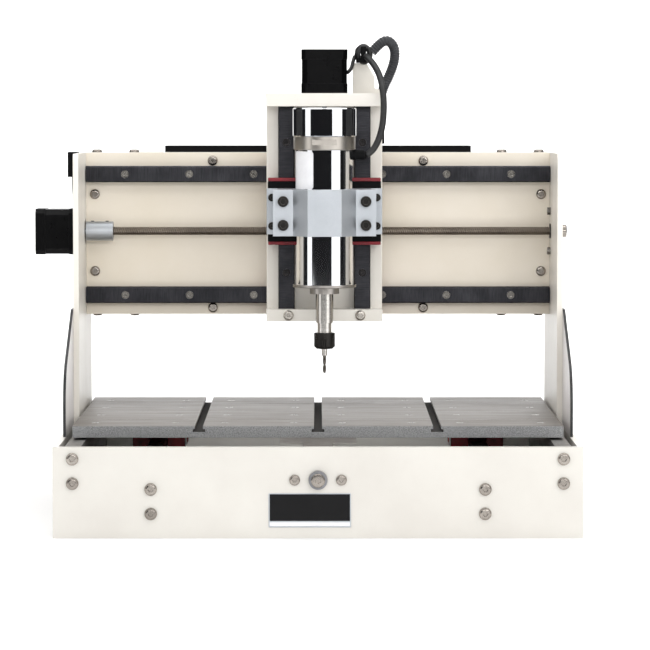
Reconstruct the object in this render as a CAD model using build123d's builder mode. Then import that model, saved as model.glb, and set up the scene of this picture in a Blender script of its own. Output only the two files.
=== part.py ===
from build123d import *
from math import radians, tan
import os

os.makedirs("parts", exist_ok=True)

# Benchtop router with a fixed gantry and a moving T-slot table.
# Frame: origin on the bench under the middle of the base, X to the right, Y to the back, Z up.
# All sizes are in millimetres.

# Base
BASE_W = 454
BASE_D = 364
PANEL_H = 78
PANEL_T = 8
SIDE_T = 5
FRONT_Y = -BASE_D / 2
INNER_D = BASE_D - 2 * PANEL_T
SIDE_BEAM_X = 210
SIDE_BEAM_W = 14
SIDE_BEAM_Z = (34, 78)
RAIL_BEAM_X = 143
RAIL_BEAM_W = 18
RAIL_BEAM_Z = (8, 56)

# Linear rails and carriages of the 15 mm class
RAIL_W = 15
RAIL_H = 15
RAIL_PITCH = 60
CARRIAGE_W = 34
CARRIAGE_H = 28
SCREW_SINK = 4.5
RUN_GAP = 0.35

# Drive screws and motors
SCREW_R = 4
NUT_R = SCREW_R + 0.05
COUPLING_R = 9
SHAFT_R = 2.5
MOTOR_W = 42.3
MOTOR_L = 40
PILOT_R = 11
Y_SCREW_Z = 50
X_SCREW_Y = 95
X_SCREW_Z = 253

# Table
TABLE_W = 429
TABLE_Y = 32.5
TABLE_D = 299
TABLE_Z = 80
LAYER_T = 5
SLOT_X = 104
SLOT_NECK = 7
SLOT_WIDE = 11

# Gantry
GANTRY_IN = 217
GANTRY_T = 5
GANTRY_Y = (6, 174)
GANTRY_Z = (22, 326)
GUARD_T = 2.5
BEAM_Y = 109
BEAM_T = 8
BEAM_Z = (174.6, 326)
FLANGE_T = 6
X_RAIL_Z = (193.2, 306)

# Cross slide, Z slide and spindle, centred on SLIDE_X at rest
SLIDE_X = 5.9
SLIDE_W = 107
PLATE_T = 8
PLATE_BACK = BEAM_Y - CARRIAGE_H
PLATE_FRONT = PLATE_BACK - PLATE_T
PLATE_Z = (171.7, 369)
TOP_PLATE_T = 12
BOTTOM_PLATE_T = 10.8
Z_RAIL_X = 35
Z_BLOCK_Z = (242, 303.4)
Z_SCREW_Y = 59
SLIDE_PLATE_Z = (252, 294)
SLIDE_BACK = PLATE_FRONT - CARRIAGE_H
SLIDE_FRONT = SLIDE_BACK - PLATE_T
SPINDLE_Y = 7
SPINDLE_R = 26
CLAMP_W = 93
EAR_FRONT = -11.8
CLAMP_FRONT = -25


def save(piece, name):
    piece.part.label = name
    export_step(piece.part, f"parts/{name}.step")


def plane_x(x, y, z, side=1):
    """Plane at a point, facing +X or -X."""
    return Plane(origin=(x, y, z), x_dir=(0, 1, 0), z_dir=(side, 0, 0))


def plane_y(x, y, z, side=-1):
    """Plane at a point, facing the front by default."""
    return Plane(origin=(x, y, z), x_dir=(1, 0, 0), z_dir=(0, side, 0))


def plane_z(x, y, z, side=1):
    """Plane at a point, facing up or down."""
    return Plane(origin=(x, y, z), x_dir=(1, 0, 0), z_dir=(0, 0, side))


def slab(x, y, z):
    """A box in the current part, from pairs of limits along each axis."""
    with BuildSketch(plane_z((x[0] + x[1]) / 2, (y[0] + y[1]) / 2, z[0])) as outline:
        Rectangle(x[1] - x[0], y[1] - y[0])
    extrude(outline.sketch, amount=z[1] - z[0])


def disc(plane, radius, length, mode=Mode.ADD):
    """A round bar or bore that starts on a plane and runs along its normal."""
    with BuildSketch(plane) as round_face:
        Circle(radius)
    extrude(round_face.sketch, amount=length, mode=mode)


def both(x):
    return (-x, x)


# Fasteners: seat at the origin, head above it, shank below it
with BuildPart() as panel_screw:
    disc(Plane.XY, 5.4, 3.3)
    fillet(panel_screw.edges().group_by(Axis.Z)[-1], 2.4)
    with BuildSketch(Plane.XY.offset(3.3)):
        RegularPolygon(2.3, 6)
    extrude(amount=-2, mode=Mode.SUBTRACT)
    disc(Plane.XY, 2.9, -14)

with BuildPart() as beam_screw:
    disc(Plane.XY, 4.7, 2.7)
    fillet(beam_screw.edges().group_by(Axis.Z)[-1], 2)
    with BuildSketch(Plane.XY.offset(2.7)):
        RegularPolygon(1.8, 6)
    extrude(amount=-1.6, mode=Mode.SUBTRACT)
    disc(Plane.XY, 2.4, -8)

with BuildPart() as cap_screw:
    disc(Plane.XY, 4.9, 6)
    chamfer(cap_screw.edges().group_by(Axis.Z)[-1], 0.6)
    with BuildSketch(Plane.XY.offset(6)):
        RegularPolygon(2.9, 6)
    extrude(amount=-3, mode=Mode.SUBTRACT)
    disc(Plane.XY, 2.9, -14)

with BuildPart() as rail_screw:
    disc(Plane.XY, 3.5, 3.2)
    disc(Plane.XY, 2.2, SCREW_SINK - RAIL_H)
    with BuildSketch(Plane.XY.offset(3.2)):
        RegularPolygon(1.7, 6)
    extrude(amount=-1.6, mode=Mode.SUBTRACT)

with BuildPart() as flat_screw:
    disc(Plane.XY, 3.9, -1.6)
    with BuildSketch(Plane.XY):
        RegularPolygon(1.5, 6)
    extrude(amount=-1, mode=Mode.SUBTRACT)

# Screw seats
CORNER_SEATS = [plane_y(x, FRONT_Y, z) for x in both(SIDE_BEAM_X) for z in (47, 68)]
RAIL_BEAM_SEATS = [plane_y(x, FRONT_Y, z) for x in both(RAIL_BEAM_X) for z in (21, 42)]
BEARING_SEATS = [plane_y(x, FRONT_Y, Y_SCREW_Z) for x in both(20)]
FRONT_SEATS = CORNER_SEATS + RAIL_BEAM_SEATS
BACK_SEATS = [plane_y(seat.origin.X, -FRONT_Y, seat.origin.Z, 1) for seat in FRONT_SEATS]
BEAM_SEATS = [plane_y(x, BEAM_Y, z) for x in both(209) for z in (215, 287)]
BEAM_SEATS += [plane_y(x, BEAM_Y, z) for x in both(98.6) for z in (180.7, 318.4)]
FLANGE_X = (-208, -173, 173, 208)
TOP_SEATS = [plane_z(x, 130, BEAM_Z[1]) for x in FLANGE_X]
LOW_SEATS = [plane_z(x, 130, BEAM_Z[0], -1) for x in FLANGE_X]
SIDE_SEATS = [
    plane_x(side * (GANTRY_IN + GANTRY_T), y, z, side)
    for side in (-1, 1)
    for y in (127, 165)
    for z in (200, 300)
]

BEARING_BOLTS = [plane_x(GANTRY_IN, X_SCREW_Y, X_SCREW_Z + step, -1) for step in (-18.5, 18.5)]


def holes(seats, radius, depth):
    """Screw holes below each seat."""
    with Locations([seat.location for seat in seats]):
        Hole(radius, depth)


def placed(screw, seats):
    """Copies of a fastener on each seat."""
    with Locations([seat.location for seat in seats]):
        add(screw.part)


def drive_bore(plane, reach):
    """Opening in a plate for a motor's pilot."""
    disc(plane, PILOT_R + 0.2, reach, Mode.SUBTRACT)


# Base frame
with BuildPart() as front_panel:
    slab(both(BASE_W / 2), (FRONT_Y, FRONT_Y + PANEL_T), (0, PANEL_H))
    fillet(front_panel.edges().filter_by(Axis.Z), 1)
    holes(FRONT_SEATS, 3, PANEL_T)
    holes(BEARING_SEATS, 2.5, PANEL_T)
    disc(plane_y(0, FRONT_Y, Y_SCREW_Z, 1), 8.1, PANEL_T, Mode.SUBTRACT)
save(front_panel, "front_panel")

with BuildPart() as back_panel:
    slab(both(BASE_W / 2), (-FRONT_Y - PANEL_T, -FRONT_Y), (0, PANEL_H))
    fillet(back_panel.edges().filter_by(Axis.Z), 1)
    holes(BACK_SEATS, 3, PANEL_T)
    drive_bore(plane_y(0, -FRONT_Y, Y_SCREW_Z), PANEL_T)
save(back_panel, "back_panel")

with BuildPart() as side_panels:
    for side in (-1, 1):
        outer = side * BASE_W / 2
        inner = side * (BASE_W / 2 - SIDE_T)
        slab(sorted((inner, outer)), both(INNER_D / 2), (0, PANEL_H))
save(side_panels, "side_panels")

with BuildPart() as base_beams:
    for x in both(SIDE_BEAM_X):
        half = SIDE_BEAM_W / 2
        slab((x - half, x + half), both(INNER_D / 2), SIDE_BEAM_Z)
    for x in both(RAIL_BEAM_X):
        half = RAIL_BEAM_W / 2
        slab((x - half, x + half), both(INNER_D / 2), RAIL_BEAM_Z)
    holes([seat.offset(-PANEL_T) for seat in FRONT_SEATS + BACK_SEATS], 3, 20)
save(base_beams, "base_beams")

with BuildPart() as base_screws:
    placed(panel_screw, FRONT_SEATS + BACK_SEATS)
    placed(beam_screw, BEARING_SEATS)
save(base_screws, "base_screws")

with BuildPart() as nameplate:
    with BuildSketch(plane_y(-7, FRONT_Y, 24)):
        RectangleRounded(70.6, 29.4, 0.8)
    extrude(amount=1)
save(nameplate, "nameplate")


def section_plane(seat, along):
    """Plane across a rail, at a distance along it, with its Y pointing away from the seat."""
    across = seat.z_dir.cross(seat.x_dir)
    return Plane(origin=seat.origin + seat.x_dir * along, x_dir=across, z_dir=seat.x_dir)


def rail_holes(length):
    """Places of the screws along a rail, from its middle."""
    count = int((length / 2 - RAIL_W / 2) / RAIL_PITCH)
    return [RAIL_PITCH * i for i in range(-count, count + 1)]


def rail(seat, length):
    """A profile rail with waisted sides. It lies on the seat and runs along the seat's X."""
    half = RAIL_W / 2
    waist = half - 2
    side = [(half, 0), (half, 5), (waist, 7.5), (waist, 9.5), (half, 12), (half, RAIL_H - 1)]
    right = side + [(half - 1, RAIL_H)]
    left = [(-x, y) for x, y in reversed(right)]
    with BuildSketch(section_plane(seat, -length / 2)) as section:
        with BuildLine():
            Polyline(*right, *left, close=True)
        make_face()
    extrude(section.sketch, amount=length)
    top = seat.offset(RAIL_H)
    for along in rail_holes(length):
        mouth = Plane(origin=top.origin + seat.x_dir * along, x_dir=seat.x_dir, z_dir=seat.z_dir)
        disc(mouth, 3.75, -SCREW_SINK, Mode.SUBTRACT)
        disc(mouth, 2.25, -RAIL_H, Mode.SUBTRACT)


def rail_screws_on(seat, length):
    """The screws of one rail."""
    places = []
    for along in rail_holes(length):
        at = seat.origin + seat.x_dir * along + seat.z_dir * (RAIL_H - SCREW_SINK)
        places.append(Plane(origin=at, x_dir=seat.x_dir, z_dir=seat.z_dir))
    placed(rail_screw, places)


def carriage(seat, along, length, width, height):
    """A ball carriage that straddles a rail with running clearance."""
    half = width / 2
    channel = RAIL_W / 2 + RUN_GAP
    roof = RAIL_H + RUN_GAP
    floor = 4.3
    right = [(channel, roof), (channel, floor), (half, floor), (half, height)]
    left = [(-x, y) for x, y in reversed(right)]
    with BuildSketch(section_plane(seat, along - length / 2)) as section:
        with BuildLine():
            Polyline(*right, *left, close=True)
        make_face()
    extrude(section.sketch, amount=length)


# Y axis guides
Y_SEATS = [Plane((x, 0, RAIL_BEAM_Z[1]), x_dir=(0, 1, 0), z_dir=(0, 0, 1)) for x in both(RAIL_BEAM_X)]
Y_RAIL_L = INNER_D - 4

with BuildPart() as y_rails:
    for seat in Y_SEATS:
        rail(seat, Y_RAIL_L)
save(y_rails, "y_rails")

with BuildPart() as y_carriages:
    for seat in Y_SEATS:
        for along in (-35, 35):
            carriage(seat, TABLE_Y + along, 60, 47, TABLE_Z - RAIL_BEAM_Z[1])
save(y_carriages, "y_carriages")


def motor(face):
    """A square stepper motor that hangs from its mounting face, with its pilot beyond the face."""
    back = face.offset(-MOTOR_L)
    corner = 4
    end_cap = 9
    for start in (back, face.offset(-end_cap)):
        with BuildSketch(start) as cap:
            Rectangle(MOTOR_W, MOTOR_W)
            chamfer(cap.vertices(), corner)
        extrude(cap.sketch, amount=end_cap)
    with BuildSketch(back.offset(end_cap)) as stack:
        Rectangle(MOTOR_W - 1, MOTOR_W - 1)
        chamfer(stack.vertices(), corner + 1)
    extrude(stack.sketch, amount=MOTOR_L - 2 * end_cap)
    disc(face, PILOT_R, 2)
    disc(face.offset(2), SHAFT_R + 0.1, -12, Mode.SUBTRACT)


def coupling(face, near, length):
    """A clamping sleeve with the motor's shaft in it, between the motor's face and the drive screw."""
    middle = near + length / 2
    disc(face.offset(near), COUPLING_R, length)
    disc(face.offset(near), SHAFT_R + 0.02, length / 2, Mode.SUBTRACT)
    disc(face.offset(middle), SCREW_R + 0.02, length / 2, Mode.SUBTRACT)
    disc(face.offset(-8), SHAFT_R, near + length / 2 + 7)


# Y drive
Y_MOTOR_FACE = plane_y(0, -FRONT_Y, Y_SCREW_Z)
Y_COUPLING = (10, 24)
with BuildPart() as y_motor:
    motor(Y_MOTOR_FACE)
save(y_motor, "y_motor")

with BuildPart() as y_coupling:
    coupling(Y_MOTOR_FACE, *Y_COUPLING)
save(y_coupling, "y_coupling")

with BuildPart() as y_leadscrew:
    start = -FRONT_Y - Y_COUPLING[0] - Y_COUPLING[1] / 2 - 0.5
    disc(plane_y(0, start, Y_SCREW_Z), SCREW_R, start - FRONT_Y + 7)
    disc(plane_y(0, FRONT_Y - 4.3, Y_SCREW_Z), 6, 3)
    with BuildSketch(plane_y(0, FRONT_Y - 7.3, Y_SCREW_Z)):
        RegularPolygon(2.2, 6)
    extrude(amount=-2.5, mode=Mode.SUBTRACT)
save(y_leadscrew, "y_leadscrew")

with BuildPart() as y_front_bearing:
    disc(plane_y(0, FRONT_Y + PANEL_T + 4, Y_SCREW_Z), 8, PANEL_T + 8)
    slab(both(26), (FRONT_Y + PANEL_T, FRONT_Y + PANEL_T + 4), (Y_SCREW_Z - 12, Y_SCREW_Z + 12))
    disc(plane_y(0, FRONT_Y + PANEL_T + 4, Y_SCREW_Z), NUT_R, PANEL_T + 8, Mode.SUBTRACT)
    holes([seat.offset(-PANEL_T) for seat in BEARING_SEATS], 2.5, 4)
save(y_front_bearing, "y_front_bearing")

with BuildPart() as y_nut_block:
    slab(both(35), (TABLE_Y - 15, TABLE_Y + 15), (62, TABLE_Z))
    slab(both(14), (TABLE_Y - 15, TABLE_Y + 15), (38, 62))
    disc(plane_y(0, TABLE_Y + 15, Y_SCREW_Z), NUT_R, 30, Mode.SUBTRACT)
save(y_nut_block, "y_nut_block")

# Table: one base plate and four strips, whose rebated edges make the T-slots
TABLE_FRONT = TABLE_Y - TABLE_D / 2
TABLE_BACK = TABLE_Y + TABLE_D / 2
STRIP_Z = (TABLE_Z + LAYER_T, TABLE_Z + 2 * LAYER_T)
STRIP_ROWS = [TABLE_Y + step for step in (-115, -38, 38, 115)]
GROOVES = [TABLE_Y + step for step in (-85, 0, 85)]
NECK = SLOT_NECK / 2
WIDE = SLOT_WIDE / 2

with BuildPart() as table_base_plate:
    slab(both(TABLE_W / 2), (TABLE_FRONT, TABLE_BACK), (TABLE_Z, TABLE_Z + LAYER_T))
    chamfer(table_base_plate.edges().filter_by(Axis.Z), 1)
save(table_base_plate, "table_base_plate")


def strip(x_near, x_far, rebates):
    """A table strip between two limits, with a rebate under each edge that borders a slot."""
    slab((x_near, x_far), (TABLE_FRONT, TABLE_BACK), STRIP_Z)
    under = (STRIP_Z[0], STRIP_Z[0] + LAYER_T / 2)
    for edge, inward in rebates:
        cut = sorted((edge, edge + inward * (WIDE - NECK)))
        with BuildSketch(plane_z(sum(cut) / 2, TABLE_Y, under[0])) as rebate:
            Rectangle(cut[1] - cut[0], TABLE_D)
        extrude(rebate.sketch, amount=under[1] - under[0], mode=Mode.SUBTRACT)
    for y in GROOVES:
        with BuildSketch(plane_z((x_near + x_far) / 2, y, STRIP_Z[1])) as groove:
            Rectangle(x_far - x_near, 0.8)
        extrude(groove.sketch, amount=-0.5, mode=Mode.SUBTRACT)


def strip_seats(x_near, x_far):
    inset = 18
    return [plane_z(x, y, STRIP_Z[1]) for x in (x_near + inset, x_far - inset) for y in STRIP_ROWS]


INNER_STRIPS = [(-SLOT_X + NECK, -NECK), (NECK, SLOT_X - NECK)]
OUTER_STRIPS = [(-TABLE_W / 2, -SLOT_X - NECK), (SLOT_X + NECK, TABLE_W / 2)]

with BuildPart() as inner_table_strips:
    for near, far in INNER_STRIPS:
        strip(near, far, [(near, 1), (far, -1)])
        holes(strip_seats(near, far), 4, 1.7)
save(inner_table_strips, "inner_table_strips")

with BuildPart() as outer_table_strips:
    for (near, far), slot_edge in zip(OUTER_STRIPS, (1, 0)):
        edge = (near, far)[slot_edge]
        strip(near, far, [(edge, -1 if slot_edge else 1)])
        holes(strip_seats(near, far), 4, 1.7)
save(outer_table_strips, "outer_table_strips")

with BuildPart() as table_screws:
    for near, far in INNER_STRIPS + OUTER_STRIPS:
        placed(flat_screw, [seat.offset(-0.1) for seat in strip_seats(near, far)])
save(table_screws, "table_screws")

# Gantry sides
GUARD_TOP = (GANTRY_Y[0], 185)
GUARD_TOE = (-92, PANEL_H)
GUARD_KNEE = (-92, 104)
GUARD_SHOULDER = (-75, 140)
with BuildPart() as gantry_plates:
    for side in (-1, 1):
        slab(sorted((side * GANTRY_IN, side * (GANTRY_IN + GANTRY_T))), GANTRY_Y, GANTRY_Z)
    top_edges = gantry_plates.edges().filter_by(Axis.X).group_by(Axis.Z)[-1]
    fillet(top_edges.group_by(Axis.Y)[0], 5)
    disc(plane_x(-GANTRY_IN, X_SCREW_Y, X_SCREW_Z), PILOT_R + 0.2, -GANTRY_T, Mode.SUBTRACT)
    disc(plane_x(GANTRY_IN, X_SCREW_Y, X_SCREW_Z), 7, GANTRY_T, Mode.SUBTRACT)
    holes(SIDE_SEATS + BEARING_BOLTS, 2.25, GANTRY_T)
save(gantry_plates, "gantry_plates")

with BuildPart() as side_guards:
    for side in (-1, 1):
        with BuildSketch(plane_x(side * (GANTRY_IN + GANTRY_T), 0, 0)):
            with BuildLine():
                Polyline(GUARD_TOP, (GANTRY_Y[1], GUARD_TOP[1]), (GANTRY_Y[1], PANEL_H), GUARD_TOE)
                Line(GUARD_TOE, GUARD_KNEE)
                TangentArc(GUARD_KNEE, GUARD_SHOULDER, tangent=(0, 1))
                Line(GUARD_SHOULDER, GUARD_TOP)
            make_face()
        extrude(amount=side * GUARD_T)
save(side_guards, "side_guards")

# Gantry beam: a front plate on ribs, closed by a flange above and below
with BuildPart() as beam_front_plate:
    slab(both(GANTRY_IN), (BEAM_Y, BEAM_Y + BEAM_T), BEAM_Z)
    holes(BEAM_SEATS, 2.5, BEAM_T)
save(beam_front_plate, "beam_front_plate")

FLANGES = [(BEAM_Z[0], BEAM_Z[0] + FLANGE_T), (BEAM_Z[1] - FLANGE_T, BEAM_Z[1])]
with BuildPart() as beam_flanges:
    for levels in FLANGES:
        slab(both(GANTRY_IN), (BEAM_Y + BEAM_T, GANTRY_Y[1]), levels)
    holes(TOP_SEATS + LOW_SEATS, 2.5, FLANGE_T)
save(beam_flanges, "beam_flanges")

RIB_Z = (BEAM_Z[0] + FLANGE_T, BEAM_Z[1] - FLANGE_T)
RIB_X = [(-GANTRY_IN, -201), (-104, -93), (93, 104), (201, GANTRY_IN)]
with BuildPart() as beam_ribs:
    for span in RIB_X:
        slab(span, (BEAM_Y + BEAM_T, GANTRY_Y[1] - 4), RIB_Z)
    holes([seat.offset(-BEAM_T) for seat in BEAM_SEATS], 2.5, 6)
    low = [seat.offset(-FLANGE_T) for seat in TOP_SEATS + LOW_SEATS if abs(seat.origin.X) > 200]
    holes(low, 2.5, 8)
    holes([seat.offset(-GANTRY_T) for seat in SIDE_SEATS], 2.25, 8)
save(beam_ribs, "beam_ribs")

with BuildPart() as gantry_screws:
    placed(beam_screw, BEAM_SEATS + TOP_SEATS + LOW_SEATS)
save(gantry_screws, "gantry_screws")

TRAY_X = 144.5
TRAY_Y = (140, 168)
with BuildPart() as cable_tray:
    slab(both(TRAY_X), TRAY_Y, (BEAM_Z[1], BEAM_Z[1] + 6))
    with BuildSketch(plane_z(0, sum(TRAY_Y) / 2, BEAM_Z[1] + 1.5)):
        Rectangle(2 * TRAY_X - 3, TRAY_Y[1] - TRAY_Y[0] - 3)
    extrude(amount=5, mode=Mode.SUBTRACT)
save(cable_tray, "cable_tray")

# X axis guides and drive
X_SEATS = [plane_y(0, BEAM_Y, z) for z in X_RAIL_Z]
X_RAIL_L = 2 * (GANTRY_IN - 0.5)
with BuildPart() as x_rails:
    for seat in X_SEATS:
        rail(seat, X_RAIL_L)
save(x_rails, "x_rails")

with BuildPart() as x_carriages:
    for seat in X_SEATS:
        for along in (-27.5, 27.5):
            carriage(seat, SLIDE_X + along, 50, CARRIAGE_W, CARRIAGE_H)
save(x_carriages, "x_carriages")

X_MOTOR_FACE = plane_x(-GANTRY_IN - GANTRY_T, X_SCREW_Y, X_SCREW_Z)
X_COUPLING = (6, 25)
with BuildPart() as x_motor:
    motor(X_MOTOR_FACE)
save(x_motor, "x_motor")

with BuildPart() as x_coupling:
    coupling(X_MOTOR_FACE, *X_COUPLING)
save(x_coupling, "x_coupling")

BEARING_T = 5
OUTER_X = GANTRY_IN + GANTRY_T
END_GAP = 0.3
with BuildPart() as x_end_bearing:
    with BuildSketch(plane_x(OUTER_X, X_SCREW_Y, X_SCREW_Z)):
        with BuildLine():
            right = [(4, -25), (11, -14), (11, 14), (4, 25)]
            left = [(-x, y) for x, y in reversed(right)]
            Polyline(*right, *left, close=True)
        make_face()
    extrude(amount=BEARING_T)
    disc(plane_x(OUTER_X, X_SCREW_Y, X_SCREW_Z, -1), 6.9, GANTRY_T + 1)
    disc(plane_x(OUTER_X + BEARING_T, X_SCREW_Y, X_SCREW_Z, -1), NUT_R, 13, Mode.SUBTRACT)
    holes([seat.offset(-GANTRY_T) for seat in BEARING_BOLTS], 2.25, BEARING_T)
save(x_end_bearing, "x_end_bearing")

with BuildPart() as x_leadscrew:
    start = X_COUPLING[0] + X_COUPLING[1] / 2 + 0.5 - OUTER_X
    disc(plane_x(start, X_SCREW_Y, X_SCREW_Z), SCREW_R, OUTER_X + BEARING_T + 5 - start)
    disc(plane_x(OUTER_X + BEARING_T + END_GAP, X_SCREW_Y, X_SCREW_Z), 6, 4)
    with BuildSketch(plane_x(OUTER_X + BEARING_T + 5, X_SCREW_Y, X_SCREW_Z)):
        RegularPolygon(2.2, 6)
    extrude(amount=-2.5, mode=Mode.SUBTRACT)
save(x_leadscrew, "x_leadscrew")

BOX_Y = (58, 90)
BOX_Z = (304, 327)
with BuildPart() as connector_box:
    slab((-OUTER_X - 8.5, -OUTER_X), BOX_Y, BOX_Z)
    fillet(connector_box.edges().filter_by(Axis.X), 2)
save(connector_box, "connector_box")

# Cross slide
LEFT = SLIDE_X - SLIDE_W / 2
RIGHT = SLIDE_X + SLIDE_W / 2
PLATE_BOLTS = [plane_y(SLIDE_X + x, SLIDE_BACK, PLATE_Z[0] + BOTTOM_PLATE_T / 2) for x in both(33)]
with BuildPart() as z_axis_plate:
    slab((LEFT, RIGHT), (PLATE_FRONT, PLATE_BACK), PLATE_Z)
    fillet(z_axis_plate.edges().filter_by(Axis.Z), 0.8)
save(z_axis_plate, "z_axis_plate")

with BuildPart() as z_top_plate:
    slab((LEFT, RIGHT), (SLIDE_BACK - 7.5, PLATE_BACK), (PLATE_Z[1], PLATE_Z[1] + TOP_PLATE_T))
    fillet(z_top_plate.edges().filter_by(Axis.Z), 0.8)
    disc(plane_z(SLIDE_X, Z_SCREW_Y, PLATE_Z[1]), PILOT_R + 0.2, TOP_PLATE_T, Mode.SUBTRACT)
save(z_top_plate, "z_top_plate")

with BuildPart() as z_bottom_plate:
    slab((LEFT, RIGHT), (SLIDE_BACK, PLATE_FRONT), (PLATE_Z[0], PLATE_Z[0] + BOTTOM_PLATE_T))
    fillet(z_bottom_plate.edges().filter_by(Axis.Z), 0.8)
    holes(PLATE_BOLTS, 2.5, 14)
    disc(plane_z(SLIDE_X, Z_SCREW_Y, PLATE_Z[0] + BOTTOM_PLATE_T), NUT_R, -8, Mode.SUBTRACT)
save(z_bottom_plate, "z_bottom_plate")

with BuildPart() as x_nut_block:
    levels = (X_SCREW_Z - 14, X_SCREW_Z + 14)
    slab((SLIDE_X - 18, SLIDE_X + 18), (PLATE_BACK, BEAM_Y - 3), levels)
    disc(plane_x(SLIDE_X - 18, X_SCREW_Y, X_SCREW_Z), NUT_R, 36, Mode.SUBTRACT)
save(x_nut_block, "x_nut_block")

# Z axis guides and drive
Z_RAIL_Z = (PLATE_Z[0] + BOTTOM_PLATE_T, PLATE_Z[1])
Z_RAIL_MID = sum(Z_RAIL_Z) / 2
Z_BLOCK_MID = sum(Z_BLOCK_Z) / 2
Z_SEATS = [
    Plane((SLIDE_X + x, PLATE_FRONT, Z_RAIL_MID), x_dir=(0, 0, 1), z_dir=(0, -1, 0))
    for x in both(Z_RAIL_X)
]
Z_RAIL_L = Z_RAIL_Z[1] - Z_RAIL_Z[0]
with BuildPart() as z_rails:
    for seat in Z_SEATS:
        rail(seat, Z_RAIL_L)
save(z_rails, "z_rails")

SLIDE_BOLTS = [
    plane_y(SLIDE_X + x, SLIDE_FRONT, Z_BLOCK_MID + z) for x in both(48) for z in both(13)
]
with BuildPart() as z_carriages:
    for seat in Z_SEATS:
        along = Z_BLOCK_MID - Z_RAIL_MID
        carriage(seat, along, Z_BLOCK_Z[1] - Z_BLOCK_Z[0], CARRIAGE_W, CARRIAGE_H)
    holes([seat.offset(-PLATE_T) for seat in SLIDE_BOLTS], 2.25, 4)
save(z_carriages, "z_carriages")

with BuildPart() as small_cap_screws:
    placed(rail_screw, SIDE_SEATS + BEARING_BOLTS)
    for seat in Y_SEATS:
        rail_screws_on(seat, Y_RAIL_L)
    for seat in X_SEATS:
        rail_screws_on(seat, X_RAIL_L)
save(small_cap_screws, "small_cap_screws")

with BuildPart() as z_plate_screws:
    placed(beam_screw, PLATE_BOLTS)
    for seat in Z_SEATS:
        rail_screws_on(seat, Z_RAIL_L)
save(z_plate_screws, "z_plate_screws")

Z_MOTOR_FACE = plane_z(SLIDE_X, Z_SCREW_Y, PLATE_Z[1] + TOP_PLATE_T, -1)
Z_COUPLING = (TOP_PLATE_T + 2, 22)
with BuildPart() as z_motor:
    motor(Z_MOTOR_FACE)
save(z_motor, "z_motor")

with BuildPart() as z_coupling:
    coupling(Z_MOTOR_FACE, *Z_COUPLING)
save(z_coupling, "z_coupling")

with BuildPart() as z_leadscrew:
    low = PLATE_Z[0] + BOTTOM_PLATE_T - 7.5
    high = Z_MOTOR_FACE.origin.Z - Z_COUPLING[0] - Z_COUPLING[1] / 2 - 0.5
    disc(plane_z(SLIDE_X, Z_SCREW_Y, low), SCREW_R, high - low)
save(z_leadscrew, "z_leadscrew")

with BuildPart() as z_nut_block:
    slab((SLIDE_X - 13, SLIDE_X + 13), (SLIDE_BACK, PLATE_FRONT - 1.5), (263, 283))
    disc(plane_z(SLIDE_X, Z_SCREW_Y, 263), NUT_R, 20, Mode.SUBTRACT)
save(z_nut_block, "z_nut_block")

# Z slide with the spindle clamp
with BuildPart() as z_slide_plate:
    slab((LEFT + 0.5, RIGHT - 0.5), (SLIDE_FRONT, SLIDE_BACK), SLIDE_PLATE_Z)
    fillet(z_slide_plate.edges().filter_by(Axis.Z), 0.8)
    holes(SLIDE_BOLTS, 2.5, PLATE_T)
save(z_slide_plate, "z_slide_plate")

CLAMP_X = 37.3
CLAMP_BOLTS = [
    plane_y(SLIDE_X + x, EAR_FRONT, Z_BLOCK_MID + z) for x in both(CLAMP_X) for z in both(10.7)
]
CLAMP_Z = SLIDE_PLATE_Z[0]
CLAMP_H = SLIDE_PLATE_Z[1] - CLAMP_Z
SPLIT = 0.6
BORE_R = SPINDLE_R + 0.03

with BuildPart() as clamp_rear_half:
    near = SLIDE_X - CLAMP_W / 2 + 4
    slab((near, near + CLAMP_W - 8), (SPINDLE_Y, SLIDE_FRONT), SLIDE_PLATE_Z)
    disc(plane_z(SLIDE_X, SPINDLE_Y, CLAMP_Z), BORE_R, CLAMP_H, Mode.SUBTRACT)
save(clamp_rear_half, "clamp_rear_half")

with BuildPart() as clamp_front_half:
    with BuildSketch(plane_z(SLIDE_X, 0, CLAMP_Z)):
        with BuildLine():
            half_w = CLAMP_W / 2
            Polyline(
                (-half_w, SPINDLE_Y - SPLIT),
                (-half_w, EAR_FRONT),
                (-28.4, EAR_FRONT),
                (-15.2, CLAMP_FRONT),
                (15.2, CLAMP_FRONT),
                (28.4, EAR_FRONT),
                (half_w, EAR_FRONT),
                (half_w, SPINDLE_Y - SPLIT),
                close=True,
            )
        make_face()
    extrude(amount=CLAMP_H)
    disc(plane_z(SLIDE_X, SPINDLE_Y, CLAMP_Z), BORE_R, CLAMP_H, Mode.SUBTRACT)
    holes(CLAMP_BOLTS, 3, 14)
save(clamp_front_half, "clamp_front_half")

with BuildPart() as slide_screws:
    placed(cap_screw, CLAMP_BOLTS)
    placed(rail_screw, SLIDE_BOLTS)
save(slide_screws, "slide_screws")

# Spindle
SPINDLE_LOW = 208
SPINDLE_HIGH = 329.4
CAP_HIGH = 367.5
with BuildPart() as spindle_body:
    with BuildSketch(Plane((SLIDE_X, SPINDLE_Y, 0), x_dir=(1, 0, 0), z_dir=(0, -1, 0))):
        with BuildLine():
            Polyline(
                (8.1, 199.3), (13.3, 199.3), (13.3, 205.3), (28.4, 205.3), (28.8, 205.7),
                (28.8, SPINDLE_LOW), (SPINDLE_R, SPINDLE_LOW), (SPINDLE_R, SPINDLE_HIGH),
                (8.1, SPINDLE_HIGH), close=True,
            )
        make_face()
    revolve(axis=Axis((SLIDE_X, SPINDLE_Y, 0), (0, 0, 1)))
save(spindle_body, "spindle_body")

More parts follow.
